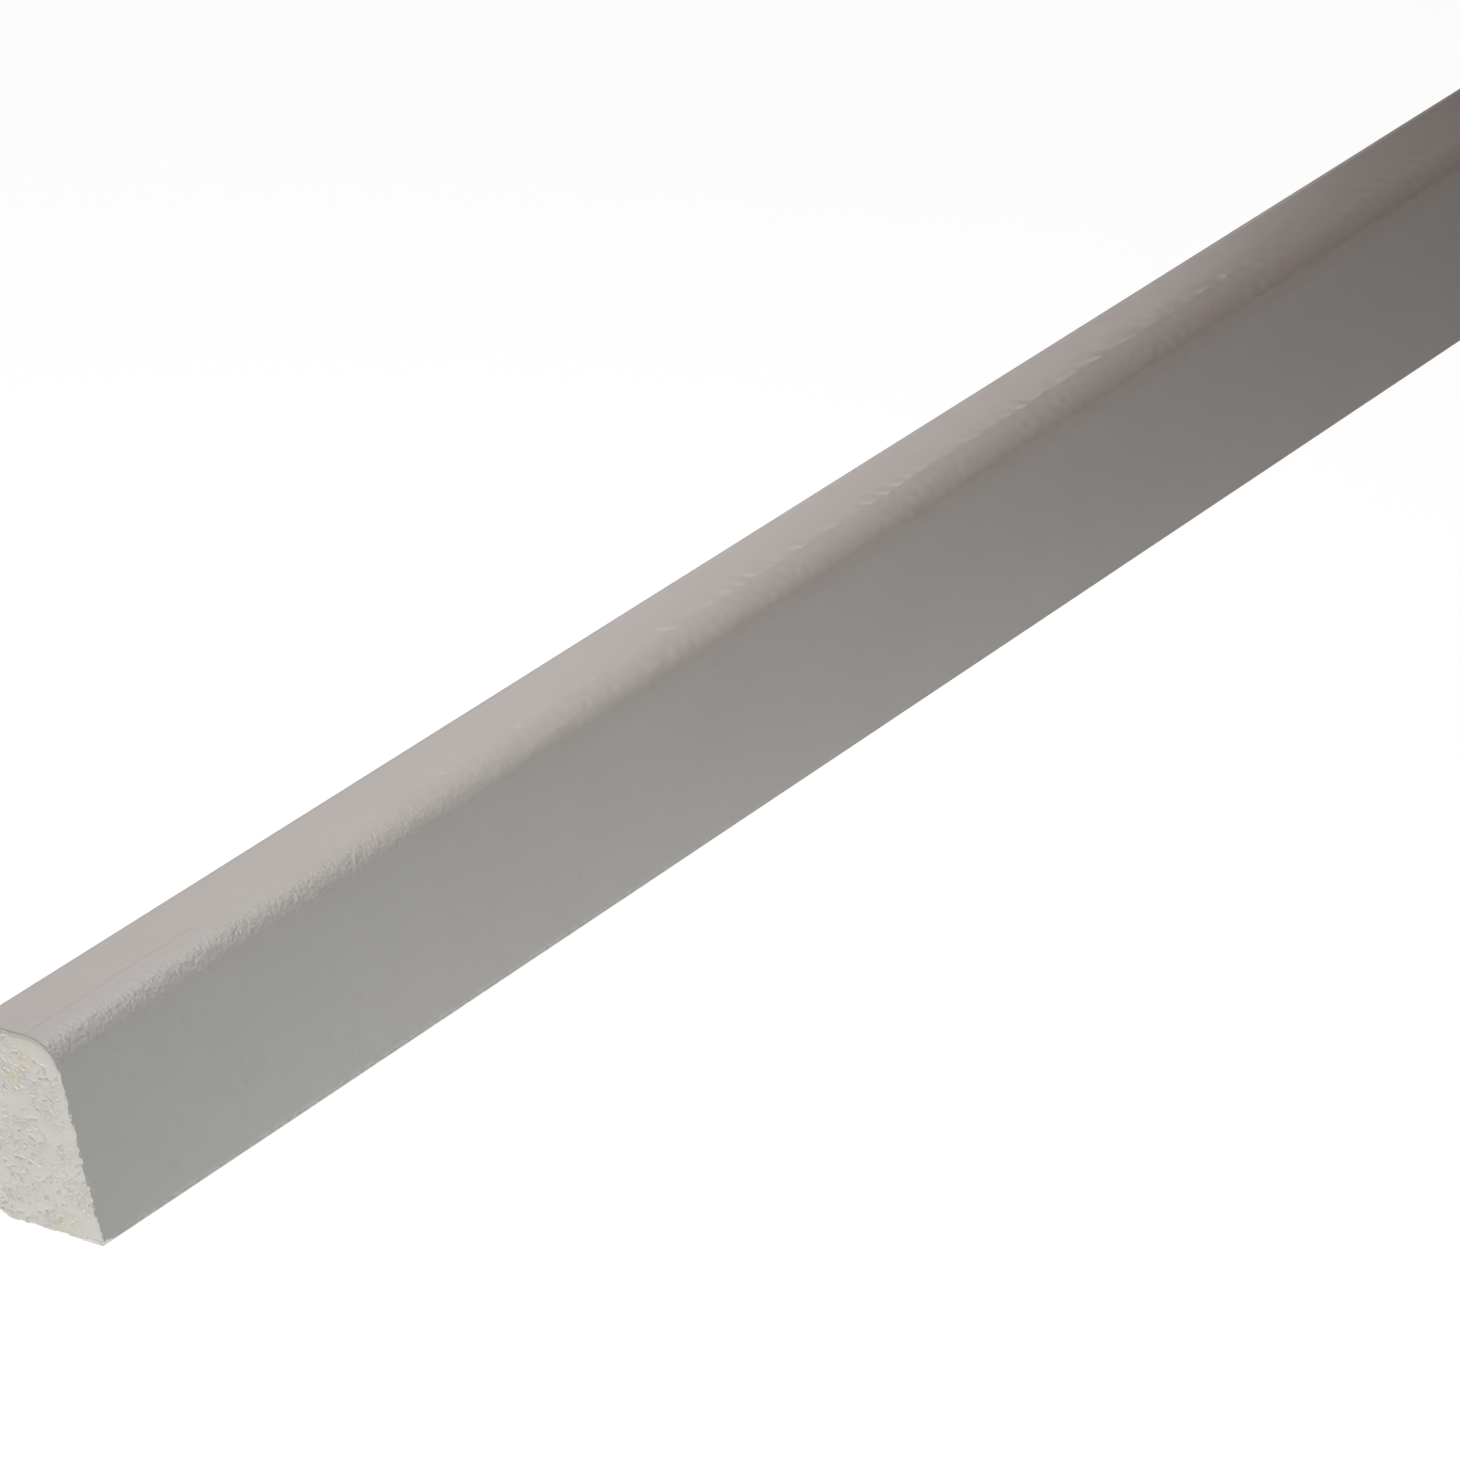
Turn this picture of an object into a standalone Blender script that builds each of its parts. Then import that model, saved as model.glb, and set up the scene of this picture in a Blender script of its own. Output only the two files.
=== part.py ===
"""Cover strip: a straight length of foamed-plastic moulding with a film finish.

One solid, extruded from a closed profile. The strip stands on its base: the flat back (+Y) goes
against a wall, the front face (-Y) leans back, a large round joins it to the level top, and a
round heel eases the lower back edge. It runs along X and is sawn square at both ends.
Metres, +Z up, with the origin under the middle of the base.
"""

import math

import bmesh
import bpy
from mathutils import Vector

# Driving sizes
LENGTH = 0.300
HEIGHT = 0.0200
DEPTH = 0.0144
FRONT_LEAN = math.radians(15.25)
NOSE_RADIUS = 0.0037
HEEL_RADIUS = 0.0041
TOP_BACK_RADIUS = 0.0004
TOE_RADIUS = 0.00015

# Arcs: the widest step between two points, and the fewest steps in a small arc
ARC_STEP = math.radians(6.0)
FEWEST_ARC_STEPS = 4

# Edges that turn by more than this stay sharp
SHARP_ANGLE = math.radians(30.0)

# Finish: warm grey film
FILM_COLOUR = (0.40, 0.395, 0.375, 1.0)
FILM_ROUGHNESS = 0.42
FILM_METALLIC = 0.0


def clear_objects():
    """Remove every object of the open scene."""
    for obj in list(bpy.data.objects):
        bpy.data.objects.remove(obj, do_unlink=True)


def film_material():
    """The strip's own grey film finish."""
    material = bpy.data.materials.new("grey_film")
    material.use_nodes = True
    shader = material.node_tree.nodes["Principled BSDF"]
    shader.inputs["Base Color"].default_value = FILM_COLOUR
    shader.inputs["Roughness"].default_value = FILM_ROUGHNESS
    shader.inputs["Metallic"].default_value = FILM_METALLIC
    return material


def rounded_corner(before, corner, after, radius):
    """Points of the arc that rounds the corner between two neighbours, both ends included."""
    to_before = (before - corner).normalized()
    to_after = (after - corner).normalized()
    half_angle = to_before.angle(to_after) / 2
    middle = corner + (to_before + to_after).normalized() * (radius / math.sin(half_angle))
    tangent_length = radius / math.tan(half_angle)
    start = corner + to_before * tangent_length - middle
    end = corner + to_after * tangent_length - middle
    sweep = start.angle_signed(end)
    steps = max(FEWEST_ARC_STEPS, math.ceil(abs(sweep) / ARC_STEP))
    arc = []
    for step in range(steps + 1):
        turn = sweep * step / steps
        arm = Vector((
            start.x * math.cos(turn) + start.y * math.sin(turn),
            start.y * math.cos(turn) - start.x * math.sin(turn),
        ))
        arc.append(middle + arm)
    return arc


def profile():
    """Closed outline of the strip's section as (y, z) points, from the toe round to the nose.

    DEPTH is the whole depth over the round toe, so the sharp corner that the toe rounds off
    lies a little in front of it.
    """
    toe_angle = math.pi / 2 - FRONT_LEAN
    cut_off_by_round_toe = TOE_RADIUS / math.tan(toe_angle / 2) - TOE_RADIUS
    front = -DEPTH / 2 - cut_off_by_round_toe
    back = DEPTH / 2
    lean_run = HEIGHT * math.tan(FRONT_LEAN)
    corners = [
        (Vector((front, 0.0)), TOE_RADIUS),
        (Vector((back, 0.0)), HEEL_RADIUS),
        (Vector((back, HEIGHT)), TOP_BACK_RADIUS),
        (Vector((front + lean_run, HEIGHT)), NOSE_RADIUS),
    ]
    outline = []
    for index, (corner, radius) in enumerate(corners):
        before = corners[index - 1][0]
        after = corners[(index + 1) % len(corners)][0]
        outline.extend(rounded_corner(before, corner, after, radius))
    return outline


def build_strip():
    """Extrude the profile along X, from one sawn end to the other."""
    mesh_edit = bmesh.new()
    section = [mesh_edit.verts.new((-LENGTH / 2, point.x, point.y)) for point in profile()]
    end_face = mesh_edit.faces.new(section)
    swept = bmesh.ops.extrude_face_region(mesh_edit, geom=[end_face], use_keep_orig=True)
    far_points = [item for item in swept["geom"] if isinstance(item, bmesh.types.BMVert)]
    bmesh.ops.translate(mesh_edit, verts=far_points, vec=(LENGTH, 0.0, 0.0))
    bmesh.ops.recalc_face_normals(mesh_edit, faces=mesh_edit.faces)

    mesh = bpy.data.meshes.new("cover_strip")
    mesh_edit.to_mesh(mesh)
    mesh_edit.free()
    mesh.materials.append(film_material())
    mesh.shade_smooth()
    mesh.set_sharp_from_angle(angle=SHARP_ANGLE)

    strip = bpy.data.objects.new("cover_strip", mesh)
    bpy.context.scene.collection.objects.link(strip)
    return strip


clear_objects()
build_strip()
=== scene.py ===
"""Cover strip: the finish of its film and its sawn foam core, in studio light.

Metres, +Z up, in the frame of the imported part. The strip runs along X on its base, with its
leaning front face towards -Y and its flat back towards +Y. The camera sees the sawn end at -X.
"""

import math

import bmesh
import bpy
import numpy as np
from mathutils import Matrix, Vector


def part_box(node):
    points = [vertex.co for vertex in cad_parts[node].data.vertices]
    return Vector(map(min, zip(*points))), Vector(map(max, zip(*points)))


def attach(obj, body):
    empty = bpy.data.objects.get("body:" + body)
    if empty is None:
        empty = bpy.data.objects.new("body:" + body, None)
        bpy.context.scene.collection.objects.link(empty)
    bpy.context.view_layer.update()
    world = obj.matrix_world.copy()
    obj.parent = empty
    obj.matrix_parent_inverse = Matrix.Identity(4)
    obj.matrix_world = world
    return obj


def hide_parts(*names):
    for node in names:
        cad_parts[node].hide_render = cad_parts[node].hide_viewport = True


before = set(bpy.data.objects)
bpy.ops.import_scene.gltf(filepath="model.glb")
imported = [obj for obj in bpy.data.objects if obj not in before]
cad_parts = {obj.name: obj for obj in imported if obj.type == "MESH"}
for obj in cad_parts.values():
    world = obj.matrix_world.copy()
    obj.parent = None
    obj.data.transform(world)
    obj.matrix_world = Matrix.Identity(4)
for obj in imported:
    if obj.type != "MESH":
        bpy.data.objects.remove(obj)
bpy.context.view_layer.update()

MM = 0.001

# The strip's section, as in the CAD solid. The toe's sharp corner, which its round cuts off, lies a
# little in front of the strip
strip_low, strip_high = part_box("cover_strip")
NEAR_X = strip_low[0]
FAR_X = strip_high[0]
FRONT_Y = strip_low[1]
BACK_Y = strip_high[1]
HEIGHT = strip_high[2]
FRONT_LEAN = math.radians(15.25)
NOSE_RADIUS = 3.7 * MM
HEEL_RADIUS = 4.1 * MM
TOP_BACK_RADIUS = 0.4 * MM
TOE_RADIUS = 0.15 * MM
TOE_ANGLE = math.pi / 2 - FRONT_LEAN
LEAN_RUN = HEIGHT * math.tan(FRONT_LEAN)
SHARP_TOE_Y = FRONT_Y + TOE_RADIUS - TOE_RADIUS / math.tan(TOE_ANGLE / 2)

# How finely the section is drawn and read: steps of its arcs, samples along the whole of it and along
# the film, and the reach over which its normals are taken
ARC_STEP = math.radians(2.0)
OUTLINE_SAMPLES = 8000
FILM_SAMPLES = 6000
NORMAL_REACH = 0.03 * MM

# The film: how thick it is, its depth below the solid's surface, which leaves room for its waviness,
# how far it laps on to the base and the back, how far it ends before the sawn faces, and the share of
# that which its ragged edge takes up
FILM_THICKNESS = 0.17 * MM
FILM_MARGIN = 0.03 * MM
BASE_LAP = 2.5 * MM
BACK_LAP = 3.0 * MM
FILM_CUT_BACK = 0.035 * MM
FILM_CUT_SHARE = 0.8

# The film's mesh: stations along the strip, which crowd towards its near end, and how many of them go
# to one on its inside. Round the section, the spacing of its points on the flats and at the nose, and
# how many radians of a bend add a point
FILM_STATIONS = 800
STATION_CROWDING = 0.45
INNER_STEP = 8
FILM_SPACING = 0.9 * MM
NOSE_SPACING = 0.24 * MM
FILM_TURN = 0.2
FILM_SHARP_ANGLE = math.radians(40.0)

# The film is stretched round the nose: fully within the first distance from the nose's middle, and
# not at all beyond the second
NOSE_REACH = (1.6 * MM, 4.0 * MM)

# The top eases into the nose over this much of its width, drops by this much there, and does so
# along a curve of this power
CROWN_WIDTH = 3.6 * MM
CROWN_DROP = 0.045 * MM
CROWN_POWER = 2.5

# Random waves: the shortest, the longest and how many are summed
FILM_WAVES = (1.3 * MM, 3.0 * MM, 60)
SWELL_WAVES = (12.0 * MM, 40.0 * MM, 24)
FILM_CUT_WAVES = (0.3 * MM, 1.1 * MM, 12)
RIM_WAVES = (0.4 * MM, 2.4 * MM, 16)
CROWDING_WAVES = (2.5 * MM, 8.0 * MM, 16)
DRAG_WAVES = (1.2 * MM, 4.5 * MM, 30)
GRAIN_WAVES = (0.14 * MM, 0.4 * MM, 60)
SKIN_WAVES = (2.0 * MM, 8.0 * MM, 14)

# How high those waves are. The film's are low on the flats and high round the nose. From the near
# sawn end on they have only a share of that, and grow to the whole of it over a stretch of the strip
WAVE_HEIGHT = 0.0008 * MM
NOSE_WAVE_HEIGHT = 0.016 * MM
CALM_SHARE = 0.3
CALM_REACH = (12.0 * MM, 55.0 * MM)
SWELL_HEIGHT = 0.002 * MM
DRAG_HEIGHT = 0.015 * MM
GRAIN_HEIGHT = 0.0035 * MM
SKIN_HEIGHT = 0.012 * MM

# Seeds of the random draws
FILM_SEED = 4711
SWELL_SEED = FILM_SEED + 1
FILM_CUT_SEED = FILM_SEED + 3
NEAR_END_SEED = FILM_SEED + 10
FAR_END_SEED = FILM_SEED + 40
SKIN_SEED = FILM_SEED + 60

# The core's sides: the gap to the film over them, their depth below the solid's surface under the
# film and where they are bare, and the stretch of the outline in which the one turns into the other
FILM_GAP = 0.025 * MM
CORE_UNDER_FILM = FILM_MARGIN + FILM_THICKNESS + FILM_GAP
CORE_BARE = 0.05 * MM
BARE_BLEND = 0.15 * MM

# The core's sawn rims: how far they bite into the film's cut edge, their depth there, and their depth
# down the front, where they are dragged over that edge, with the stretch below the nose in which the
# one turns into the other. Then how ragged they are, the share of that which is left at the top, and
# how far behind them the next loops of the sides lie
RIM_BITE = 0.01 * MM
RIM_UNDER_FILM = FILM_MARGIN + FILM_THICKNESS - RIM_BITE
RIM_OVER_FILM = 0.08 * MM
RIM_FRONT_BLEND = 3.0 * MM
RIM_RAGGED = 0.12 * MM
RIM_CALM_SHARE = 0.08
RIM_DEPTHS = (0.30 * MM, 0.8 * MM)

# The core's mesh: the grids of its sawn faces, how far these lie inside the solid, the pitch of the map
# that gives their depths, how near to the map's end it is still read, as a share of that pitch, and the
# loops of the core's sides
NEAR_GRID = (225, 308)
FAR_GRID = (84, 116)
SAWN_MARGIN = 0.01 * MM
MAP_PITCH = 0.03 * MM
MAP_END = 0.001
WALL_SPACING = 10.0 * MM
WALL_LOOP_POINTS = 150
CORE_SHARP_ANGLE = math.radians(60.0)

# Torn cells on the sawn faces: how many places are tried, and the ranges of their sizes
CURLS = 1000
CURL_RADII = (0.18 * MM, 0.50 * MM)
CURL_OPENINGS = (0.6, 2.0)
CURL_WIDTHS = (0.07 * MM, 0.115 * MM)
CURL_FALLS = (0.03 * MM, 0.09 * MM)
PITS = 50
PIT_RADII = (0.06 * MM, 0.17 * MM)
PIT_FALLS = (0.03 * MM, 0.10 * MM)
SQUASHES = (0.5, 1.0)
FLAKES = 220
FLAKE_LENGTHS = (0.3 * MM, 0.95 * MM)
FLAKE_WIDTHS = (0.10 * MM, 0.22 * MM)
FLAKE_RISES = (0.03 * MM, 0.07 * MM)

# Curls: the share of the opening at which they start to fade, and how many widths outside their
# radius they reach. The raised edge outside has its height as a share of the fall, and its offset and
# width as shares of the groove's width
CURL_FADE = 0.65
CURL_MARGIN = 3
LIP_SHARE = 1.2
LIP_OFFSET = 1.7
LIP_WIDTH = 0.8

# Pits: how far they reach in radii, the power of their wall's curve, and how much deeper the curve
# goes than the flat floor that ends it
PIT_MARGIN = 1.3
PIT_POWER = 3.0
PIT_OVERSHOOT = 1.2

# Flakes: how much they bend, and how wide their steep and their sloping side are, in widths
FLAKE_BEND = 0.8
FLAKE_STEEP = 0.35
FLAKE_SLOPE = 1.6

# The chance that a tried place is used: anywhere, more well inside the outline, and by the crowding
CHANCE = 0.45
CHANCE_INSIDE = 0.3
CHANCE_CROWDED = 0.30
INSIDE_REACH = (0.2 * MM, 2.5 * MM)


def unit(vector):
    """The vector at length one."""
    return vector / np.linalg.norm(vector)


def corner_arc(before, corner, after, radius):
    """Points of the arc that rounds one corner of a counterclockwise outline."""
    to_before = unit(before - corner)
    to_after = unit(after - corner)
    half_angle = math.acos(float(np.dot(to_before, to_after))) / 2
    centre = corner + unit(to_before + to_after) * radius / math.sin(half_angle)
    start = corner + to_before * radius / math.tan(half_angle) - centre
    sweep = math.pi - 2 * half_angle
    turns = np.linspace(0.0, sweep, math.ceil(sweep / ARC_STEP) + 1)
    arms = np.column_stack([
        start[0] * np.cos(turns) - start[1] * np.sin(turns),
        start[0] * np.sin(turns) + start[1] * np.cos(turns),
    ])
    return centre + arms


def section_points():
    """The section's outline as (y, z) points, counterclockwise from the toe."""
    corners = [
        (np.array([SHARP_TOE_Y, 0.0]), TOE_RADIUS),
        (np.array([BACK_Y, 0.0]), HEEL_RADIUS),
        (np.array([BACK_Y, HEIGHT]), TOP_BACK_RADIUS),
        (np.array([SHARP_TOE_Y + LEAN_RUN, HEIGHT]), NOSE_RADIUS),
    ]
    arcs = []
    for index, (corner, radius) in enumerate(corners):
        before = corners[index - 1][0]
        after = corners[(index + 1) % len(corners)][0]
        arcs.append(corner_arc(before, corner, after, radius))
    return np.vstack(arcs)


class Outline:
    """The section's outline, read by the distance along it from the toe."""

    def __init__(self, points):
        self.points = np.vstack([points, points[:1]])
        steps = np.linalg.norm(np.diff(self.points, axis=0), axis=1)
        self.distances = np.concatenate([[0.0], np.cumsum(steps)])
        self.total = self.distances[-1]

    def at(self, s):
        """Points at the distances s."""
        s = np.mod(s, self.total)
        y = np.interp(s, self.distances, self.points[:, 0])
        z = np.interp(s, self.distances, self.points[:, 1])
        return np.stack([y, z], axis=-1)

    def outward(self, s):
        """Unit normals that point out of the section."""
        along = self.at(s + NORMAL_REACH) - self.at(s - NORMAL_REACH)
        along /= np.linalg.norm(along, axis=-1, keepdims=True)
        return np.stack([along[..., 1], -along[..., 0]], axis=-1)

    def nearest(self, y, z):
        """The distance along the outline of its point nearest to (y, z)."""
        s = np.linspace(0.0, self.total, OUTLINE_SAMPLES)
        return s[np.argmin(np.linalg.norm(self.at(s) - (y, z), axis=1))]

    def inset(self, s, depth):
        """Points at the distances s, moved into the section by depth."""
        return self.at(s) - self.outward(s) * np.asarray(depth)[..., None]


# Distances along the outline of the places that the pieces are built from. The two on the nose are
# taken as if the toe's corner were sharp
outline = Outline(section_points())
toe_s = outline.nearest(FRONT_Y, TOE_RADIUS)
heel_s = outline.nearest(BACK_Y, 0.0)
top_back_s = outline.nearest(BACK_Y, HEIGHT)
nose_top_s = outline.nearest(FRONT_Y + LEAN_RUN + NOSE_RADIUS * math.tan(TOE_ANGLE / 2), HEIGHT)
nose_s = outline.nearest(FRONT_Y + LEAN_RUN, HEIGHT)
film_start_s = outline.nearest(BACK_Y, HEIGHT - BACK_LAP)
film_end_s = outline.total + outline.nearest(FRONT_Y + BASE_LAP, 0.0)


def smooth_step(value, low, high):
    """0 below low, 1 above high, with a smooth rise between them."""
    t = np.clip((value - low) / (high - low), 0.0, 1.0)
    return t * t * (3 - 2 * t)


def wave_field(u, v, shortest, longest, count, seed):
    """A smooth random relief of unit spread, made of plane waves in all directions."""
    rng = np.random.default_rng(seed)
    total = np.zeros(np.broadcast(u, v).shape)
    for _ in range(count):
        number = 2 * np.pi / rng.uniform(shortest, longest)
        heading = rng.uniform(0.0, np.pi)
        phase = rng.uniform(0.0, 2 * np.pi)
        total += np.cos(number * (u * np.cos(heading) + v * np.sin(heading)) + phase)
    return total * math.sqrt(2 / count)


class Shell:
    """Points and faces of a mesh, gathered piece by piece."""

    def __init__(self):
        self.points = []
        self.faces = []
        self.sawn = []

    def add_points(self, points):
        """Add points of any grid shape, and return their numbers in that shape."""
        points = np.asarray(points)
        first = sum(len(block) for block in self.points)
        self.points.append(points.reshape(-1, 3))
        return np.arange(first, first + points[..., 0].size).reshape(points.shape[:-1])

    def add_faces(self, faces, sawn=False):
        """Add faces, and note whether they lie on a sawn face."""
        faces = [list(map(int, face)) for face in faces]
        self.faces.extend(faces)
        self.sawn.extend([sawn] * len(faces))

    def add_grid(self, numbers, sawn=False):
        """Quads over a grid of point numbers."""
        quads = np.stack([numbers[:-1, :-1], numbers[1:, :-1], numbers[1:, 1:], numbers[:-1, 1:]], -1)
        self.add_faces(quads.reshape(-1, 4), sawn)

    def add_band(self, loop_a, s_a, loop_b, s_b):
        """Triangles between two closed loops of different point counts, matched by distance."""
        a = np.append(s_a, s_a[0] + outline.total)
        b = np.append(s_b, s_b[0] + outline.total)
        i = 0
        j = 0
        triangles = []
        while i < len(loop_a) or j < len(loop_b):
            here_a = loop_a[i % len(loop_a)]
            here_b = loop_b[j % len(loop_b)]
            if j >= len(loop_b) or (i < len(loop_a) and a[i + 1] <= b[j + 1]):
                i += 1
                triangles.append((here_a, loop_a[i % len(loop_a)], here_b))
            else:
                j += 1
                triangles.append((here_a, loop_b[j % len(loop_b)], here_b))
        self.add_faces(triangles)

    def to_object(self, name, materials, sharp_angle):
        """Make the closed mesh, with its faces pointing out. A second material is for the sawn faces."""
        mesh = bpy.data.meshes.new(name)
        mesh.from_pydata(np.vstack(self.points).tolist(), [], self.faces)
        for material in materials:
            mesh.materials.append(material)
        if len(materials) > 1:
            mesh.polygons.foreach_set("material_index", np.array(self.sawn, dtype=np.int32))
        edit = bmesh.new()
        edit.from_mesh(mesh)
        bmesh.ops.recalc_face_normals(edit, faces=edit.faces)
        edit.to_mesh(mesh)
        edit.free()
        mesh.shade_smooth()
        mesh.set_sharp_from_angle(angle=sharp_angle)
        obj = bpy.data.objects.new(name, mesh)
        bpy.context.scene.collection.objects.link(obj)
        return obj


def near_nose(s):
    """1 where the film is stretched round the nose, 0 on the flats."""
    return 1.0 - smooth_step(np.abs(s - nose_s), *NOSE_REACH)


def film_distances():
    """Distances along the outline at which the film has points, closer together at the nose and bends."""
    s = np.linspace(film_start_s, film_end_s, FILM_SAMPLES)
    normal = outline.outward(s)
    heading = np.unwrap(np.arctan2(normal[:, 1], normal[:, 0]))
    turned = np.abs(heading - heading[0])
    spacing = FILM_SPACING + (NOSE_SPACING - FILM_SPACING) * near_nose(s)
    points_so_far = np.cumsum((s[1] - s[0]) / spacing) + turned / FILM_TURN
    points_so_far -= points_so_far[0]
    count = math.ceil(points_so_far[-1])
    return np.interp(np.linspace(0.0, points_so_far[-1], count + 1), points_so_far, s)


def crown(s):
    """How far the film lies below the solid's flat top, where the top eases into the nose."""
    from_nose = np.abs(s - nose_top_s) / CROWN_WIDTH
    return CROWN_DROP * np.clip(1.0 - from_nose, 0.0, 1.0) ** CROWN_POWER


def film_waves(x, s):
    """Height of the film's surface above its mean, by place along the strip and round the section."""
    fine = wave_field(x, s, *FILM_WAVES, FILM_SEED)
    swell = wave_field(x, s, *SWELL_WAVES, SWELL_SEED)
    nose_height = NOSE_WAVE_HEIGHT * (CALM_SHARE + (1 - CALM_SHARE) * smooth_step(x - NEAR_X, *CALM_REACH))
    height = WAVE_HEIGHT + (nose_height - WAVE_HEIGHT) * near_nose(s)
    return fine * height + swell * SWELL_HEIGHT


def build_film():
    """The film: a thin closed shell from its lap on the back, over the top and front, to its lap below."""
    shell = Shell()
    s = film_distances()
    share = np.linspace(0.0, 1.0, FILM_STATIONS + 1)
    share = STATION_CROWDING * share + (1 - STATION_CROWDING) * share ** 2
    x = NEAR_X + FILM_CUT_BACK + (FAR_X - NEAR_X - 2 * FILM_CUT_BACK) * share
    x_grid, s_grid = np.meshgrid(x, s, indexing="ij")
    waves = film_waves(x_grid, s_grid)
    depth = np.maximum(FILM_MARGIN + crown(s_grid) - waves, 0.0)

    cut = 0.5 + 0.5 * wave_field(s, 0.0 * s, *FILM_CUT_WAVES, FILM_CUT_SEED)
    cut = np.clip(cut, 0.0, 1.0) * FILM_CUT_SHARE * FILM_CUT_BACK
    x_grid[0] -= cut
    x_grid[-1] += cut[::-1]

    outer = np.concatenate([x_grid[..., None], outline.inset(s_grid, depth)], -1)
    kept = np.unique(np.append(np.arange(0, FILM_STATIONS, INNER_STEP), FILM_STATIONS))
    inner_depth = depth[kept] + FILM_THICKNESS
    inner = np.concatenate([x_grid[kept][..., None], outline.inset(s_grid[kept], inner_depth)], -1)

    outside = shell.add_points(outer)
    inside = shell.add_points(inner)
    shell.add_grid(outside)
    shell.add_grid(inside)
    for end in (0, -1):
        shell.add_grid(np.stack([outside[end], inside[end]]))
    for lap in (0, -1):
        for row, (first, last) in enumerate(zip(kept[:-1], kept[1:])):
            edge = list(outside[first:last + 1, lap])
            shell.add_faces([edge + [inside[row + 1, lap], inside[row, lap]]])
    return shell.to_object("decor_film", [film_material()], FILM_SHARP_ANGLE)


def bare_share(s):
    """1 on the base and back where the core has no film, 0 where the film covers it."""
    s = np.mod(s, outline.total)
    base_edge = film_end_s - outline.total
    past_base_lap = smooth_step(s, base_edge, base_edge + BARE_BLEND)
    before_back_lap = 1.0 - smooth_step(s, film_start_s - BARE_BLEND, film_start_s)
    return past_base_lap * before_back_lap


def wall_depth(s):
    """Depth of the core's side below the solid's surface."""
    return CORE_UNDER_FILM + (CORE_BARE - CORE_UNDER_FILM) * bare_share(s)


def rim_depth(s, seed):
    """Depth of the core's sawn rim: dragged over the film's edge at the front, crumbly below."""
    s = np.mod(s, outline.total)
    on_front = smooth_step(s, nose_s, nose_s + RIM_FRONT_BLEND)
    over = RIM_UNDER_FILM + (RIM_OVER_FILM - RIM_UNDER_FILM) * on_front
    depth = over + (CORE_BARE - over) * bare_share(s)
    ragged = wave_field(s, 0.0 * s, *RIM_WAVES, seed)
    loose = np.maximum(on_front, bare_share(s))
    depth = depth + RIM_RAGGED * ragged * (RIM_CALM_SHARE + (1 - RIM_CALM_SHARE) * loose)
    return np.clip(depth, 0.0, RIM_UNDER_FILM + RIM_RAGGED)


def from_edge(y, z):
    """Rough distance of points of the section from its outline."""
    front = (y - FRONT_Y - z * math.tan(FRONT_LEAN)) * math.cos(FRONT_LEAN)
    return np.minimum.reduce([front, BACK_Y - y, z, HEIGHT - z])


def patch_of(y, z, centre, reach, angle):
    """Rows and columns of the map within reach of the centre, and their offsets in turned axes."""
    rows = slice(*np.searchsorted(z, (centre[1] - reach, centre[1] + reach)))
    columns = slice(*np.searchsorted(y, (centre[0] - reach, centre[0] + reach)))
    dy = y[columns][None, :] - centre[0]
    dz = z[rows][:, None] - centre[1]
    u = dy * math.cos(angle) + dz * math.sin(angle)
    v = dz * math.cos(angle) - dy * math.sin(angle)
    return (rows, columns), u, v


def press_curl(depth, lip, y, z, centre, radius, squash, angle, opening, width, fall):
    """Sink one torn cell wall into the map: a curved groove with a raised edge along its outside."""
    where, u, v = patch_of(y, z, centre, radius + CURL_MARGIN * width, angle)
    v = v / squash
    out = np.sqrt(u * u + v * v)
    turn = np.abs(np.arctan2(v, u))
    along = 1.0 - smooth_step(turn, CURL_FADE * opening, opening)
    groove = fall * along * np.exp(-((out - radius) / width) ** 2)
    from_lip = out - radius - LIP_OFFSET * width
    edge = LIP_SHARE * fall * along * np.exp(-(from_lip / (LIP_WIDTH * width)) ** 2)
    depth[where] = np.maximum(depth[where], groove)
    lip[where] = np.maximum(lip[where], edge)


def press_pit(depth, y, z, centre, radius, squash, angle, fall):
    """Sink one open cell into the map, with steep sides."""
    where, u, v = patch_of(y, z, centre, radius * PIT_MARGIN, angle)
    u = u / radius
    v = v / (radius * squash)
    wall = PIT_OVERSHOOT * (1.0 - (u * u + v * v) ** (PIT_POWER / 2))
    depth[where] = np.maximum(depth[where], fall * np.clip(wall, 0.0, 1.0))


def raise_flake(lip, y, z, centre, length, width, angle, rise):
    """Raise one smeared, bent flake on the map: steep along one side and sloping away on the other."""
    where, u, v = patch_of(y, z, centre, length, angle)
    u = u / length
    v = v / width + FLAKE_BEND * u * u
    side = np.where(v > 0.0, np.exp(-(v / FLAKE_STEEP) ** 2), np.exp(-(v / FLAKE_SLOPE) ** 2))
    lip[where] = np.maximum(lip[where], rise * side * np.clip(1.0 - u * u, 0.0, 1.0))


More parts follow.
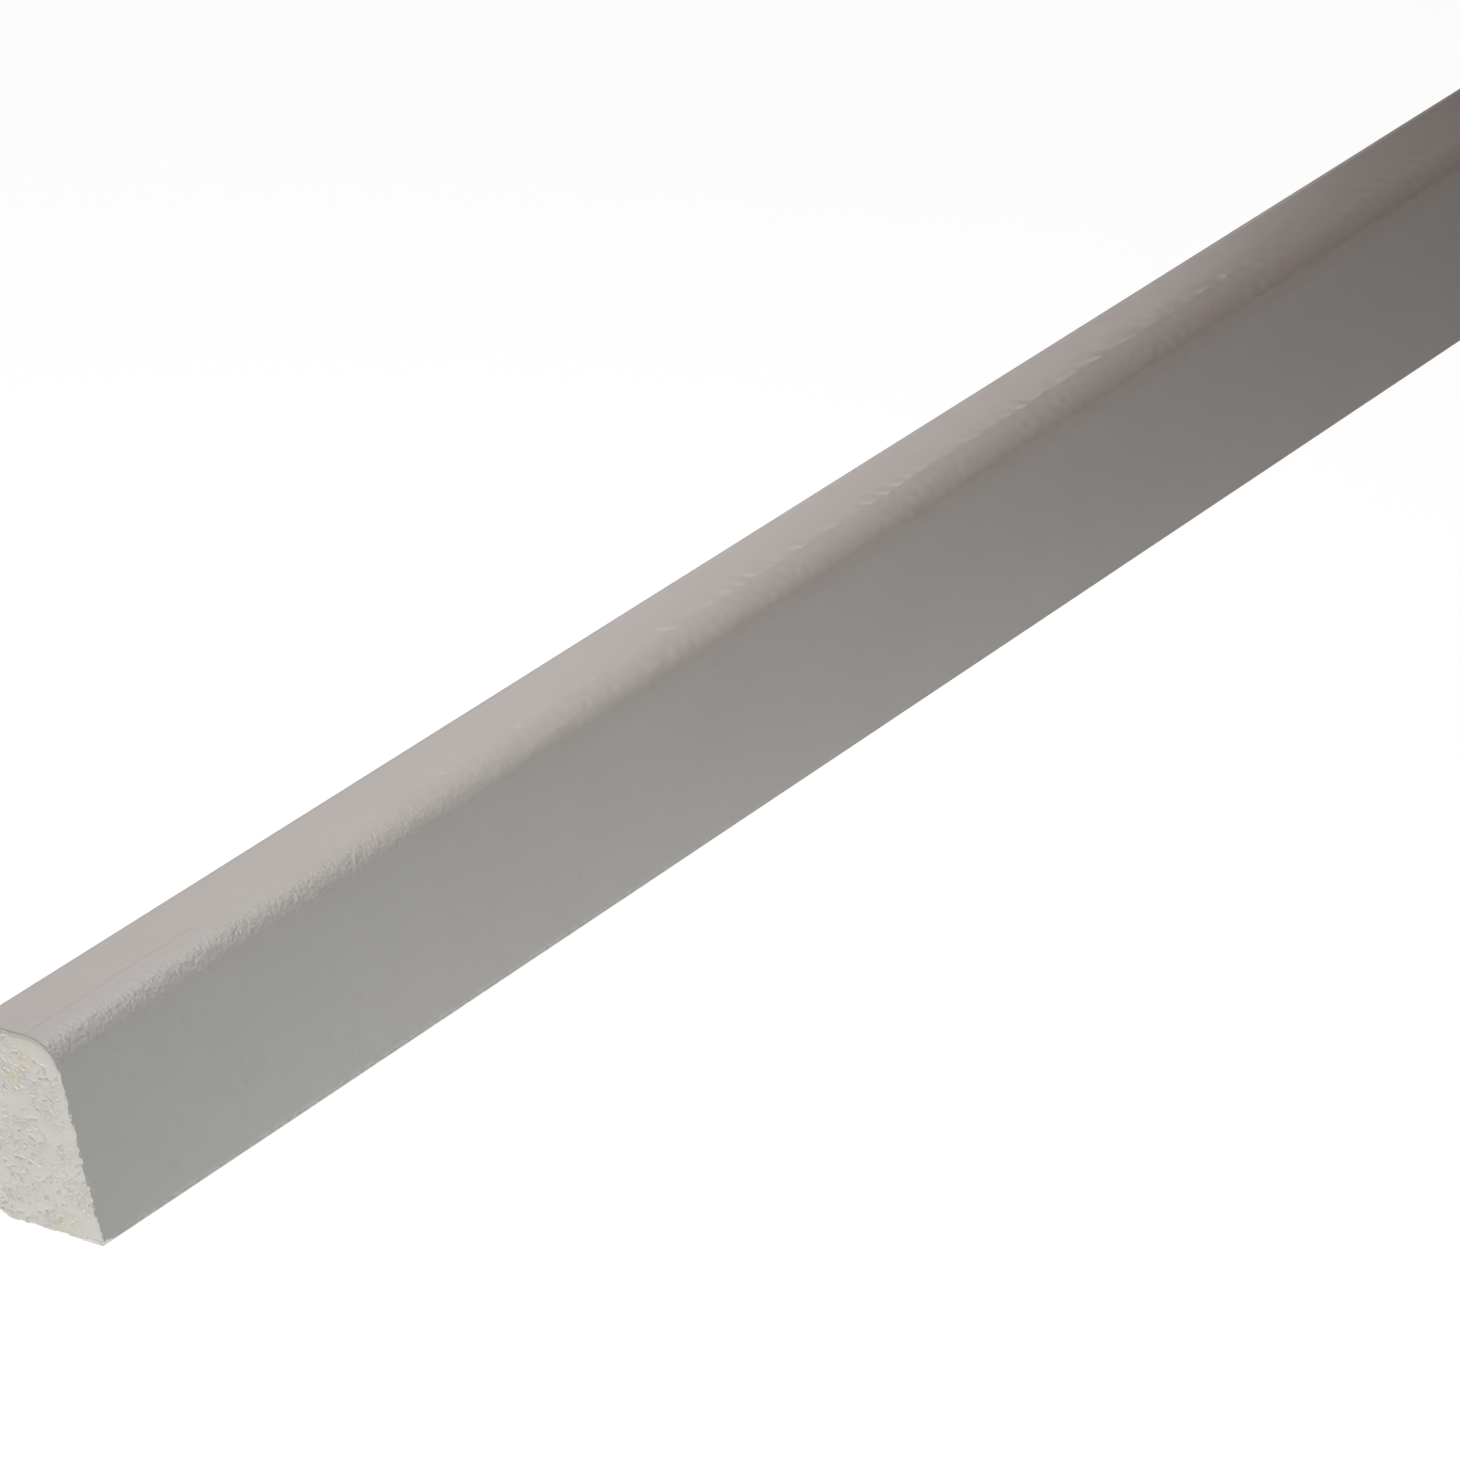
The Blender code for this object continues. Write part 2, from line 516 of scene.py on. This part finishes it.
def sawn_map(seed):
    """Depths of a sawn face over the section: torn cells, open pits, flakes and the saw's uneven drag."""
    rng = np.random.default_rng(seed)
    y = np.arange(FRONT_Y, BACK_Y + MAP_PITCH, MAP_PITCH)
    z = np.arange(0.0, HEIGHT + MAP_PITCH, MAP_PITCH)
    depth = np.zeros((len(z), len(y)))
    lip = np.zeros_like(depth)
    crowding = wave_field(y[None, :], z[:, None], *CROWDING_WAVES, seed + 1)

    def spots(count):
        """Random places, more of them where the cells crowd and fewer near the outline."""
        for centre in zip(rng.uniform(FRONT_Y, BACK_Y, count), rng.uniform(0.0, HEIGHT, count)):
            row = min(int(centre[1] / MAP_PITCH), len(z) - 1)
            column = min(int((centre[0] - FRONT_Y) / MAP_PITCH), len(y) - 1)
            inside = smooth_step(from_edge(*centre), *INSIDE_REACH)
            if rng.uniform() < CHANCE + CHANCE_INSIDE * inside + CHANCE_CROWDED * crowding[row, column]:
                yield centre

    for centre in spots(CURLS):
        radius = rng.uniform(*CURL_RADII)
        opening = rng.uniform(*CURL_OPENINGS)
        width = rng.uniform(*CURL_WIDTHS)
        fall = rng.uniform(*CURL_FALLS)
        turn = rng.uniform(0.0, 2 * math.pi)
        press_curl(depth, lip, y, z, centre, radius, rng.uniform(*SQUASHES), turn, opening, width, fall)
    for centre in spots(PITS):
        radius = rng.uniform(*PIT_RADII)
        fall = rng.uniform(*PIT_FALLS)
        press_pit(depth, y, z, centre, radius, rng.uniform(*SQUASHES), rng.uniform(0.0, math.pi), fall)
    for centre in spots(FLAKES):
        length = rng.uniform(*FLAKE_LENGTHS)
        width = rng.uniform(*FLAKE_WIDTHS)
        rise = rng.uniform(*FLAKE_RISES)
        raise_flake(lip, y, z, centre, length, width, rng.uniform(0.0, 2 * math.pi), rise)
    drag = DRAG_HEIGHT * wave_field(y[None, :], z[:, None], *DRAG_WAVES, seed + 2)
    grain = GRAIN_HEIGHT * wave_field(y[None, :], z[:, None], *GRAIN_WAVES, seed + 3)
    relief = depth - lip + drag + grain
    return y, z, relief - relief.min()


def read_map(sawn, points):
    """Depths of a sawn face at (y, z) points, between the map's own points."""
    y, z, relief = sawn
    column = np.clip((points[..., 0] - y[0]) / MAP_PITCH, 0.0, len(y) - 1 - MAP_END)
    row = np.clip((points[..., 1] - z[0]) / MAP_PITCH, 0.0, len(z) - 1 - MAP_END)
    c = column.astype(int)
    r = row.astype(int)
    fc = column - c
    fr = row - r
    low = relief[r, c] * (1 - fc) + relief[r, c + 1] * fc
    high = relief[r + 1, c] * (1 - fc) + relief[r + 1, c + 1] * fc
    return low * (1 - fr) + high * fr


def sawn_face(shell, end_x, inward, grid, seed):
    """Fill one sawn end with a fine grid of the cut cells. Returns its rim and the rim's distances."""
    across, up = grid
    corners = [toe_s, heel_s, top_back_s, nose_s, toe_s + outline.total]
    sides = [
        np.linspace(start, end, steps + 1)
        for start, end, steps in zip(corners[:-1], corners[1:], (across, up, across, up))
    ]
    bottom, back, top, front = (outline.inset(side, rim_depth(side, seed)) for side in sides)
    top = top[::-1]
    front = front[::-1]
    u = np.linspace(0.0, 1.0, across + 1)[:, None, None]
    v = np.linspace(0.0, 1.0, up + 1)[None, :, None]
    ruled = (1 - v) * bottom[:, None] + v * top[:, None] + (1 - u) * front[None] + u * back[None]
    twice = (1 - u) * (1 - v) * bottom[0] + u * (1 - v) * bottom[-1] + (1 - u) * v * top[0]
    section = ruled - twice - u * v * top[-1]
    x = end_x + inward * (SAWN_MARGIN + read_map(sawn_map(seed), section))
    numbers = shell.add_points(np.concatenate([x[..., None], section], -1))
    shell.add_grid(numbers, sawn=True)
    rim = np.concatenate([
        numbers[:-1, 0],
        numbers[-1, :-1],
        numbers[:0:-1, -1],
        numbers[0, :0:-1],
    ])
    rim_s = np.concatenate([side[:-1] for side in sides])
    return rim, rim_s


def core_loop(shell, x, s, depth):
    """One loop of the core's side, with its distances."""
    section = outline.inset(s, depth)
    return shell.add_points(np.column_stack([np.full(len(s), x), section])), s


def build_core():
    """The foam core: both sawn faces, and the sides that lie under the film or bare."""
    shell = Shell()
    near_rim, near_s = sawn_face(shell, NEAR_X, 1.0, NEAR_GRID, NEAR_END_SEED)
    far_rim, far_s = sawn_face(shell, FAR_X, -1.0, FAR_GRID, FAR_END_SEED)
    loops = [(near_rim, near_s)]
    for rim_back in RIM_DEPTHS:
        loops.append(core_loop(shell, NEAR_X + rim_back, near_s, wall_depth(near_s)))

    share = np.linspace(0.0, 1.0, WALL_LOOP_POINTS, endpoint=False)
    wall_s = toe_s + share * outline.total
    first = NEAR_X + WALL_SPACING
    last = FAR_X - WALL_SPACING
    wall_count = round((last - first) / WALL_SPACING) + 1
    for x in np.linspace(first, last, wall_count):
        uneven = SKIN_HEIGHT * wave_field(wall_s, x + 0.0 * wall_s, *SKIN_WAVES, SKIN_SEED)
        depth = wall_depth(wall_s) + np.abs(uneven) * bare_share(wall_s)
        loops.append(core_loop(shell, x, wall_s, depth))

    for rim_back in reversed(RIM_DEPTHS):
        loops.append(core_loop(shell, FAR_X - rim_back, far_s, wall_depth(far_s)))
    loops.append((far_rim, far_s))
    for (loop_a, s_a), (loop_b, s_b) in zip(loops[:-1], loops[1:]):
        shell.add_band(loop_a, s_a, loop_b, s_b)
    return shell.to_object("foam_core", [foam_skin_material(), foam_cut_material()], CORE_SHARP_ANGLE)


# Colours of the film: its grey and how it clouds, its pits, the painted shade round the nose, its
# lower edge, paler from wear and from a painted highlight, and the foam dust that scuffs it at the
# sawn end
FILM_GREY = (0.398, 0.394, 0.376, 1.0)
FILM_PALE = (0.406, 0.402, 0.384, 1.0)
FILM_DARK = (0.27, 0.265, 0.25, 1.0)
FILM_NOSE_SHADE = (0.399, 0.364, 0.347, 1.0)
FILM_WORN_AND_HIGHLIT = (0.56, 0.55, 0.53, 1.0)
FILM_SCUFF = (0.78, 0.77, 0.74, 1.0)
PIT_STRENGTH = 0.15

# Stretches of the strip, measured from the near sawn end: where the film's fine grain and its marks
# fade, where its painted shade round the nose grows, and where its lower edge, paler from wear and
# from a painted highlight, and its creases fade
GRAIN_FADE = (30.0 * MM, 100.0 * MM)
NOSE_SHADE_GROWTH = (20.0 * MM, 200.0 * MM)
WORN_AND_HIGHLIT_FADE = (20.0 * MM, 190.0 * MM)
CREASE_FADE = (18.0 * MM, 42.0 * MM)

# Foam dust at the near end: up to this high at the toe, within this far from the saw cut, and up to
# this far in crumbs along the front edge
TOE_DUST_HEIGHT = 0.95 * MM
TOE_DUST_REACH = 2.8 * MM
CRUMB_REACH = 0.26 * MM

# Bands of the film by depth below the top, from the lower to the upper: where the painted shade round
# the nose rises and ends, where the grain rises and ends, and where the front begins
NOSE_SHADE_RISE = (5.0 * MM, 2.6 * MM)
NOSE_SHADE_END = (0.80 * MM, 0.10 * MM)
GRAIN_RISE = (3.0 * MM, 1.9 * MM)
GRAIN_END = (0.80 * MM, 0.06 * MM)
FRONT_START = (3.2 * MM, 2.4 * MM)

# The lower edge, paler from wear and from a painted highlight, fades out between these heights
WORN_AND_HIGHLIT_HEIGHTS = (0.25 * MM, 0.85 * MM)

# Sizes of the film's patterns
CLOUD_SIZE = 9.0 * MM
PIT_SIZE = 0.7 * MM
GLOSS_SIZE = 1.8 * MM
WORN_AND_HIGHLIT_SIZE = 0.45 * MM
WORN_AND_HIGHLIT_STRETCH = (2.2, 1.0, 1.0)
DUST_SIZE = 0.5 * MM
CRUMB_SIZE = 0.55 * MM
GRAIN_SIZE = 0.52 * MM
MARK_SIZE = 0.65 * MM
MARK_PATCH_SIZE = 2.6 * MM
WANDER_SIZE = 9.0 * MM

# Heights of the film's bumps, and the share of the grain that is left on the flats
GRAIN_BUMP = 0.26 * MM
FLAT_GRAIN = 0.006
MARK_BUMP = 0.024 * MM
PIT_BUMP = 0.012 * MM

# Two faint creases pressed into the film on the near part of the top: their place, half width and
# depth, and how far they wander
CREASES = ((1.35 * MM, 0.55 * MM, 0.040 * MM), (0.35 * MM, 0.55 * MM, 0.030 * MM))
CREASE_WANDER = 0.8 * MM

# Roughness, from and to
FILM_ROUGHNESS = (0.17, 0.21)
CUT_ROUGHNESS = (0.72, 0.92)
SKIN_ROUGHNESS = (0.48, 0.66)

# Colours of the foam, sizes of its patterns, and the bumps of its sawn faces and its skin
FOAM_WHITE = (0.800, 0.780, 0.735, 1.0)
FOAM_WARM = (0.770, 0.745, 0.690, 1.0)
FOAM_YELLOW = (0.79, 0.765, 0.62, 1.0)
MOTTLE_SIZE = 1.1 * MM
PATCH_SIZE = 3.4 * MM
CUT_GLOSS_SIZE = 0.5 * MM
CUT_GRAIN_SIZE = 0.12 * MM
CUT_BUMP = 0.02 * MM
SKIN_GLOSS_SIZE = 1.5 * MM
SKIN_GRAIN_SIZE = 0.3 * MM
SKIN_STREAK_SIZE = 0.35 * MM
SKIN_STREAK_STRETCH = (24.0, 1.0, 1.0)
SKIN_BUMP = 0.012 * MM


class Nodes:
    """A material's nodes, added and linked by short calls."""

    def __init__(self, name):
        self.material = bpy.data.materials.new(name)
        self.material.use_nodes = True
        self.tree = self.material.node_tree
        self.shader = self.tree.nodes["Principled BSDF"]
        self.place = self.add("ShaderNodeTexCoord").outputs["Object"]

    def add(self, kind, **inputs):
        """Add a node. Inputs named by words take a value or a link."""
        node = self.tree.nodes.new(kind)
        for name, value in inputs.items():
            self.set(node.inputs[name.replace("_", " ")], value)
        return node

    def set(self, socket, value):
        """Give a socket a value or a link."""
        if isinstance(value, bpy.types.NodeSocket):
            self.tree.links.new(value, socket)
        else:
            socket.default_value = value

    def noise(self, size, detail, roughness=0.5, stretch=(1.0, 1.0, 1.0)):
        """Noise whose grains are about size wide, drawn out along the axes by stretch.

        Most of it lies between 0.3 and 0.7, and what a ramp picks out of it lies above a level.
        """
        mapping = self.add("ShaderNodeMapping", Vector=self.place)
        mapping.inputs["Scale"].default_value = [1.0 / (size * by) for by in stretch]
        texture = self.add("ShaderNodeTexNoise", Vector=mapping.outputs[0])
        texture.inputs["Scale"].default_value = 1.0
        texture.inputs["Detail"].default_value = detail
        texture.inputs["Roughness"].default_value = roughness
        return texture.outputs["Fac"]

    def ramp(self, value, low, high, to_low=0.0, to_high=1.0):
        """Map value from low..high to to_low..to_high, held at the ends."""
        node = self.add("ShaderNodeMapRange", Value=value)
        node.interpolation_type = "SMOOTHSTEP"
        for name, number in (("From Min", low), ("From Max", high), ("To Min", to_low), ("To Max", to_high)):
            node.inputs[name].default_value = number
        return node.outputs[0]

    def work_out(self, operation, a, b=0.0):
        """One sum of two values or links."""
        node = self.tree.nodes.new("ShaderNodeMath")
        node.operation = operation
        self.set(node.inputs[0], a)
        self.set(node.inputs[1], b)
        return node.outputs[0]

    def times(self, a, b):
        """The product of two values or links."""
        return self.work_out("MULTIPLY", a, b)

    def distance(self, a, b):
        """How far apart two values or links are."""
        return self.work_out("ABSOLUTE", self.work_out("SUBTRACT", a, b))

    def mix(self, share, colour_a, colour_b):
        """Mix two colours or links."""
        node = self.tree.nodes.new("ShaderNodeMix")
        node.data_type = "RGBA"
        self.set(node.inputs[0], share)
        self.set(node.inputs[6], colour_a)
        self.set(node.inputs[7], colour_b)
        return node.outputs[2]

    def bump(self, height, distance, before=None):
        """A bump of the given height in metres, on top of an earlier one."""
        node = self.add("ShaderNodeBump", Height=height)
        node.inputs["Strength"].default_value = 1.0
        node.inputs["Distance"].default_value = distance
        if before is not None:
            self.set(node.inputs["Normal"], before)
        return node.outputs[0]


class FilmNodes(Nodes):
    """The film's nodes, which also read their place along, across and up the strip."""

    def __init__(self, name):
        super().__init__(name)
        self.along, self.across, self.height = self.add("ShaderNodeSeparateXYZ", Vector=self.place).outputs

    def from_end(self, stretch, to_low, to_high):
        """Map a stretch of the strip, measured from the near sawn end, to to_low..to_high."""
        start, stop = stretch
        return self.ramp(self.along, NEAR_X + start, NEAR_X + stop, to_low, to_high)

    def below_top(self, band, to_low=0.0, to_high=1.0):
        """Map a band of heights, given by its lower and upper depth below the top, to to_low..to_high."""
        lower, upper = band
        return self.ramp(self.height, HEIGHT - lower, HEIGHT - upper, to_low, to_high)


def film_colour(nodes, pits, below_nose):
    """Grey, faintly clouded and pitted, with painted shade round the nose, and a scuffed lower edge, paler
    from wear and from a painted highlight.
    """
    cloudy = nodes.ramp(nodes.noise(CLOUD_SIZE, 3.0), 0.3, 0.7)
    colour = nodes.mix(cloudy, FILM_GREY, FILM_PALE)
    colour = nodes.mix(nodes.times(pits, PIT_STRENGTH), colour, FILM_DARK)

    # Painted shade: a darker, pinker band over the lower part of the nose, stronger towards the far end
    up_nose = nodes.below_top(NOSE_SHADE_RISE)
    off_top = nodes.below_top(NOSE_SHADE_END, 1.0, 0.1)
    nose_shade_growth = nodes.from_end(NOSE_SHADE_GROWTH, 0.25, 1.0)
    colour = nodes.mix(nodes.times(nodes.times(up_nose, off_top), nose_shade_growth), colour, FILM_NOSE_SHADE)

    # Painted highlight along the lower edge, in part also wear: a paler, ragged band that fades away from
    # the near end
    low = nodes.ramp(nodes.height, *WORN_AND_HIGHLIT_HEIGHTS, 1.0, 0.0)
    broken = nodes.ramp(nodes.noise(WORN_AND_HIGHLIT_SIZE, 2.0, 0.6, WORN_AND_HIGHLIT_STRETCH), 0.42, 0.60)
    worn_and_highlit_share = nodes.from_end(WORN_AND_HIGHLIT_FADE, 0.6, 0.0)
    colour = nodes.mix(nodes.times(nodes.times(low, broken), worn_and_highlit_share), colour, FILM_WORN_AND_HIGHLIT)

    dust_height = nodes.from_end((0.0, TOE_DUST_REACH), TOE_DUST_HEIGHT, 0.0)
    dust_edge = nodes.times(dust_height, nodes.noise(DUST_SIZE, 3.0))
    dusty = nodes.work_out("LESS_THAN", nodes.height, dust_edge)
    colour = nodes.mix(dusty, colour, FILM_SCUFF)
    crumb_x = nodes.ramp(nodes.noise(CRUMB_SIZE, 3.0, 0.6), 0.42, 0.74, NEAR_X, NEAR_X + CRUMB_REACH)
    crumbs = nodes.times(nodes.work_out("LESS_THAN", nodes.along, crumb_x), below_nose)
    return nodes.mix(crumbs, colour, FILM_SCUFF)


def film_normal(nodes, pits, below_nose):
    """Bumps of the film: fine grain round the nose, faint marks on the front, pits and the creases."""
    near_part = nodes.from_end(GRAIN_FADE, 1.0, 0.12)
    from_below = nodes.below_top(GRAIN_RISE)
    from_above = nodes.below_top(GRAIN_END, 1.0, 0.04)
    stretched = nodes.work_out("MAXIMUM", nodes.times(from_below, from_above), FLAT_GRAIN)
    grains = nodes.times(nodes.noise(GRAIN_SIZE, 2.5, 0.55), stretched)
    normal = nodes.bump(nodes.times(grains, near_part), GRAIN_BUMP)

    contour = nodes.distance(nodes.noise(MARK_SIZE, 1.0), 0.60)
    few = nodes.times(nodes.ramp(nodes.noise(MARK_PATCH_SIZE, 1.0), 0.56, 0.68), below_nose)
    marks = nodes.times(nodes.ramp(contour, 0.0, 0.08, 1.0, 0.0), few)
    normal = nodes.bump(nodes.times(marks, near_part), MARK_BUMP, normal)
    normal = nodes.bump(nodes.work_out("SUBTRACT", 1.0, pits), PIT_BUMP, normal)

    wander = nodes.times(nodes.noise(WANDER_SIZE, 1.0), CREASE_WANDER)
    straight = nodes.work_out("SUBTRACT", nodes.across, wander)
    fade = nodes.from_end(CREASE_FADE, 1.0, 0.0)
    for crease_y, half_width, fall in CREASES:
        off = nodes.distance(straight, crease_y)
        groove = nodes.times(nodes.ramp(off, 0.0, half_width, 1.0, 0.0), fade)
        normal = nodes.bump(nodes.work_out("SUBTRACT", 1.0, groove), fall, normal)
    return normal


def film_material():
    """Satin grey film: grainy round the nose, with faint marks, creases, and a lower edge paler from wear
    and from a painted highlight.
    """
    nodes = FilmNodes("grey_film")
    pits = nodes.ramp(nodes.noise(PIT_SIZE, 0.5), 0.76, 0.86)
    below_nose = nodes.below_top(FRONT_START, 1.0, 0.0)
    roughness = nodes.ramp(nodes.noise(GLOSS_SIZE, 3.0), 0.25, 0.75, *FILM_ROUGHNESS)
    nodes.set(nodes.shader.inputs["Base Color"], film_colour(nodes, pits, below_nose))
    nodes.set(nodes.shader.inputs["Roughness"], roughness)
    nodes.set(nodes.shader.inputs["Normal"], film_normal(nodes, pits, below_nose))
    return nodes.material


def foam_nodes(name):
    """Off-white foam, mottled and with faint yellow patches, still without its surface."""
    nodes = Nodes(name)
    mottled = nodes.ramp(nodes.noise(MOTTLE_SIZE, 4.0, 0.6), 0.3, 0.7)
    colour = nodes.mix(mottled, FOAM_WHITE, FOAM_WARM)
    patches = nodes.ramp(nodes.noise(PATCH_SIZE, 2.0), 0.54, 0.70, 0.0, 0.8)
    nodes.set(nodes.shader.inputs["Base Color"], nodes.mix(patches, colour, FOAM_YELLOW))
    return nodes


def foam_cut_material():
    """The dull, grainy foam of the sawn faces."""
    nodes = foam_nodes("foam_cut")
    roughness = nodes.ramp(nodes.noise(CUT_GLOSS_SIZE, 3.0), 0.3, 0.7, *CUT_ROUGHNESS)
    nodes.set(nodes.shader.inputs["Roughness"], roughness)
    nodes.set(nodes.shader.inputs["Normal"], nodes.bump(nodes.noise(CUT_GRAIN_SIZE, 3.0, 0.6), CUT_BUMP))
    return nodes.material


def foam_skin_material():
    """The smoother skin of the foam's sides, drawn out along the strip."""
    nodes = foam_nodes("foam_skin")
    roughness = nodes.ramp(nodes.noise(SKIN_GLOSS_SIZE, 3.0), 0.3, 0.7, *SKIN_ROUGHNESS)
    drawn = nodes.bump(nodes.noise(SKIN_STREAK_SIZE, 3.0, 0.5, SKIN_STREAK_STRETCH), SKIN_BUMP)
    grain = nodes.noise(SKIN_GRAIN_SIZE, 3.0, 0.6)
    nodes.set(nodes.shader.inputs["Roughness"], roughness)
    nodes.set(nodes.shader.inputs["Normal"], nodes.bump(grain, SKIN_BUMP, drawn))
    return nodes.material


# The camera, from the photograph: its heading from +X towards +Y, its downward pitch, the near
# toe's place in its own axes (right, down, forward), and its focal length and frame width in pixels
CAMERA_HEADING = math.radians(32.34)
CAMERA_PITCH = math.radians(24.45)
TOE_IN_CAMERA = (-58.76 * MM, 48.55 * MM, 956.97 * MM)
FOCAL_PIXELS = 10189
PHOTO_PIXELS = 1460
SENSOR_WIDTH = 36.0
CAMERA_CLIP = (0.05, 40.0)

# Floor: how much light it bounces, the light it gives off itself, and how bright the camera sees it
FLOOR_RADIUS = 12.0
FLOOR_SEGMENTS = 64
FLOOR_ALBEDO = 0.92
FLOOR_LIGHT = (0.145, 0.133, 0.141, 1.0)
FLOOR_GLOW = 0.94
FLOOR_SHADE = 0.10

# Surroundings: brightness by the height of the direction (the sine of its elevation), their colour,
# and how bright the camera sees them
SKY = ((0.0, 0.008), (0.24, 0.022), (0.46, 0.070), (0.70, 0.070), (0.86, 0.012))
SKY_COLOUR = (2.08, 1.32, 1.0)
SKY_SEEN = 1.0

# Lights: name, place, size in metres, power in watts, colour, and whether the film mirrors it
LIT_POINT = (-0.05, 0.0, 0.0)
LIGHTS = (
    ("key", (-0.221, 0.044, 0.323), 0.049, 0.804, (1.0, 0.938, 0.991), True),
    ("over_near_end", (-0.069, -0.010, 0.158), 0.160, 0.136, (1.0, 0.959, 0.934), True),
    ("front", (-0.364, -0.304, 0.207), 0.107, 0.251, (0.462, 1.0, 0.930), False),
    ("far_back", (1.137, 0.715, 0.488), 0.213, 0.178, (1.0, 0.914, 0.877), True),
    ("far_front", (0.516, -0.283, 0.573), 0.138, 0.095, (1.0, 0.742, 0.654), True),
)


def grey(level):
    """A colour with the same level in every channel."""
    return (level, level, level, 1.0)


def add_camera():
    """The photograph's camera, level, with no shift."""
    level = math.cos(CAMERA_PITCH)
    ahead = Vector((
        math.cos(CAMERA_HEADING) * level,
        math.sin(CAMERA_HEADING) * level,
        -math.sin(CAMERA_PITCH),
    ))
    right = Vector((math.sin(CAMERA_HEADING), -math.cos(CAMERA_HEADING), 0.0))
    up = right.cross(ahead)
    to_right, down, forward = TOE_IN_CAMERA
    toe = Vector((NEAR_X, SHARP_TOE_Y, 0.0))
    data = bpy.data.cameras.new("photo_camera")
    data.sensor_width = SENSOR_WIDTH
    data.lens = SENSOR_WIDTH * (FOCAL_PIXELS / PHOTO_PIXELS)
    data.clip_start, data.clip_end = CAMERA_CLIP
    camera = bpy.data.objects.new("photo_camera", data)
    turn = Matrix((right, up, -ahead)).transposed().to_4x4()
    camera.matrix_world = Matrix.Translation(toe - right * to_right + up * down - ahead * forward) @ turn
    bpy.context.scene.collection.objects.link(camera)
    bpy.context.scene.camera = camera


def add_area(name, place, size, power, colour, mirrored):
    """A soft square light that faces the near half of the strip."""
    data = bpy.data.lights.new(name, "AREA")
    data.shape = "SQUARE"
    data.size = size
    data.energy = power
    data.color = colour
    light = bpy.data.objects.new(name, data)
    light.location = place
    light.rotation_mode = "QUATERNION"
    light.rotation_quaternion = (Vector(LIT_POINT) - Vector(place)).to_track_quat("-Z", "Y")
    light.visible_camera = False
    light.visible_glossy = mirrored
    bpy.context.scene.collection.objects.link(light)


def floor_material():
    """Pale floor. The camera sees it near white, as one that is lit on its own, with a faint shadow."""
    nodes = Nodes("pale_floor")
    nodes.tree.nodes.remove(nodes.shader)

    def both(a, b):
        """The sum of two shaders."""
        added = nodes.tree.nodes.new("ShaderNodeAddShader")
        nodes.set(added.inputs[0], a.outputs[0])
        nodes.set(added.inputs[1], b.outputs[0])
        return added.outputs[0]

    bounced = both(
        nodes.add("ShaderNodeBsdfDiffuse", Color=grey(FLOOR_ALBEDO)),
        nodes.add("ShaderNodeEmission", Color=FLOOR_LIGHT, Strength=1.0),
    )
    seen = both(
        nodes.add("ShaderNodeEmission", Color=grey(1.0), Strength=FLOOR_GLOW),
        nodes.add("ShaderNodeBsdfDiffuse", Color=grey(FLOOR_SHADE)),
    )
    either = nodes.tree.nodes.new("ShaderNodeMixShader")
    nodes.set(either.inputs[0], nodes.add("ShaderNodeLightPath").outputs["Is Camera Ray"])
    nodes.set(either.inputs[1], bounced)
    nodes.set(either.inputs[2], seen)
    nodes.set(nodes.tree.nodes["Material Output"].inputs["Surface"], either.outputs[0])
    return nodes.material


def add_floor():
    """A plain round floor, wide enough for every view."""
    edit = bmesh.new()
    bmesh.ops.create_circle(edit, cap_ends=True, segments=FLOOR_SEGMENTS, radius=FLOOR_RADIUS)
    mesh = bpy.data.meshes.new("floor")
    edit.to_mesh(mesh)
    edit.free()
    mesh.materials.append(floor_material())
    floor = bpy.data.objects.new("floor", mesh)
    bpy.context.scene.collection.objects.link(floor)


def add_world():
    """Dim studio surroundings with a paler band half way up, and white where the camera sees them."""
    world = bpy.data.worlds.new("studio")
    bpy.context.scene.world = world
    world.use_nodes = True
    tree = world.node_tree
    split = tree.nodes.new("ShaderNodeSeparateXYZ")
    tree.links.new(tree.nodes.new("ShaderNodeTexCoord").outputs["Generated"], split.inputs[0])
    ramp = tree.nodes.new("ShaderNodeValToRGB")
    tree.links.new(split.outputs["Z"], ramp.inputs[0])
    elements = ramp.color_ramp.elements
    while len(elements) < len(SKY):
        elements.new(1.0)
    for element, (height, level) in zip(elements, SKY):
        element.position = height
        element.color = (*[level * share for share in SKY_COLOUR], 1.0)
    background = tree.nodes["Background"]
    tree.links.new(ramp.outputs[0], background.inputs["Color"])
    seen = tree.nodes.new("ShaderNodeBackground")
    seen.inputs["Color"].default_value = grey(SKY_SEEN)
    either = tree.nodes.new("ShaderNodeMixShader")
    tree.links.new(tree.nodes.new("ShaderNodeLightPath").outputs["Is Camera Ray"], either.inputs[0])
    tree.links.new(background.outputs[0], either.inputs[1])
    tree.links.new(seen.outputs[0], either.inputs[2])
    tree.links.new(either.outputs[0], tree.nodes["World Output"].inputs["Surface"])


core = build_core()
film = build_film()
for piece, slot in ((core, "foam_core"), (film, "decor_film")):
    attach(piece, "root")
    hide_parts("cover_strip")

add_camera()
add_floor()
add_world()
for light in LIGHTS:
    add_area(*light)
bpy.context.scene.view_settings.view_transform = "Standard"
